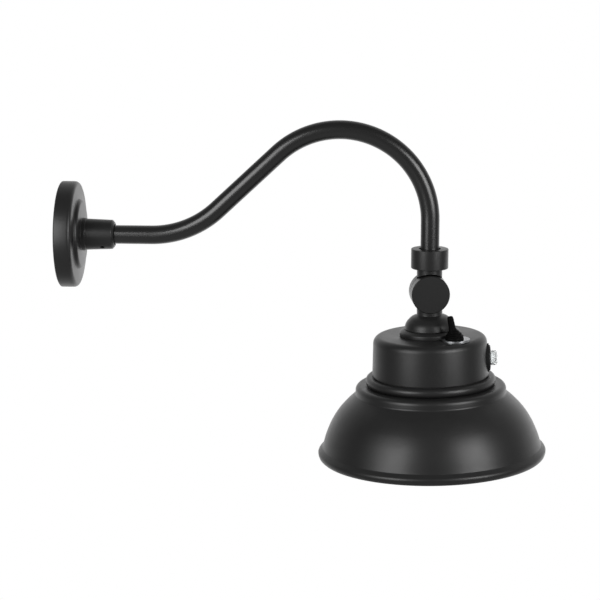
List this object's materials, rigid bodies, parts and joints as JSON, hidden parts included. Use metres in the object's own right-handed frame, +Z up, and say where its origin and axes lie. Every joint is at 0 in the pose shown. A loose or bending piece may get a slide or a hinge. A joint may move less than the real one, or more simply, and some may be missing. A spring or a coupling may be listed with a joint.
{
  "type": "gooseneck wall light",
  "caption": "Black gooseneck wall light: round canopy, curved pipe arm, swivel and tilt knuckle, LED head with photocell, toggle switch and domed shade.",
  "frame": {"origin": "centre of the canopy's wall face, which is the centre of the crossbar's box slots", "axes": "+X out from the wall, +Z up, +Y to the left of a person who faces the wall"},
  "size_m": [0.5546, 0.261, 0.3887],
  "materials": {
    "black_coat": "satin black fine-texture powder coat on cast or spun aluminium",
    "black_steel": "satin black fine-texture powder coat on steel pipe",
    "black_screw": "black oxide",
    "zinc_steel": "bright zinc plate",
    "green_screw": "green dyed zinc plate",
    "stainless": "brushed stainless",
    "black_rubber": "matte moulded rubber",
    "white_silicone": "matte silicone sheet",
    "driver_case": "matte moulded plastic, potted inside",
    "white_board": "white solder mask on an aluminium-core board",
    "led": "yellow phosphor in a white package",
    "frosted_lens": "frosted moulded polycarbonate",
    "clear_lens": "clear moulded polycarbonate",
    "sensor_film": "sensor film under clear resin",
    "black_plastic": "matte moulded plastic",
    "light_plate": "plain satin",
    "chrome_lever": "bright plate"
  },
  "bodies": {
    "wall_mount": {"wall_canopy": "black_coat", "canopy_gasket": "black_rubber", "mounting_crossbar": "zinc_steel", "canopy_screws": "black_screw", "ground_screw": "green_screw", "arm_set_screw": "black_screw", "gooseneck_arm": "black_steel"},
    "swivel": {"knuckle_upper": "black_coat", "swivel_set_screw": "black_screw"},
    "head": {"knuckle_lower": "black_coat", "pivot_bolt": "black_screw", "pivot_washer": "stainless", "knuckle_seal": "black_rubber", "bell_gasket": "black_rubber", "flange_ring": "black_coat", "flange_gasket": "black_rubber", "stem_nipple": "zinc_steel", "stem_washer": "zinc_steel", "stem_locknut": "zinc_steel", "driver_housing": "black_coat", "housing_gasket": "black_rubber", "heat_sink": "black_coat", "housing_screws": "zinc_steel", "led_driver": "driver_case", "driver_screws": "zinc_steel", "led_board": "white_board", "led_board_screws": "zinc_steel", "led_chips": "led", "lens_gasket": "white_silicone", "lens": "frosted_lens", "lens_ring": "black_coat", "shade": "black_coat", "shade_screws": "black_screw", "photocell_gasket": "black_rubber", "photocell_body": "black_plastic", "photocell_sensor": "sensor_film", "photocell_lens": "clear_lens", "photocell_nut": "black_plastic", "switch_plate": "light_plate", "switch_body": "black_plastic", "switch_nut": "stainless", "switch_boot": "black_rubber", "lever_pin": "stainless"},
    "lever": {"switch_lever": "chrome_lever", "lever_sleeve": "black_rubber"}
  },
  "joints": [
    {"name": "head_swivel", "type": "hinge", "parent": "wall_mount", "child": "swivel", "pos_m": [0.41929, 0, -0.02], "axis": [0, 0, 1], "range_deg": [-170, 170]},
    {"name": "head_tilt", "type": "hinge", "parent": "swivel", "child": "head", "pos_m": [0.41929, 0, -0.063], "axis": [-0.1253, 0.9921, 0], "range_deg": [-78.5, 81.5]},
    {"name": "switch_throw", "type": "hinge", "parent": "head", "child": "lever", "pos_m": [0.44831, -0.03605, -0.10988], "axis": [0, 1, 0.0033], "range_deg": [0, 20]}
  ]
}
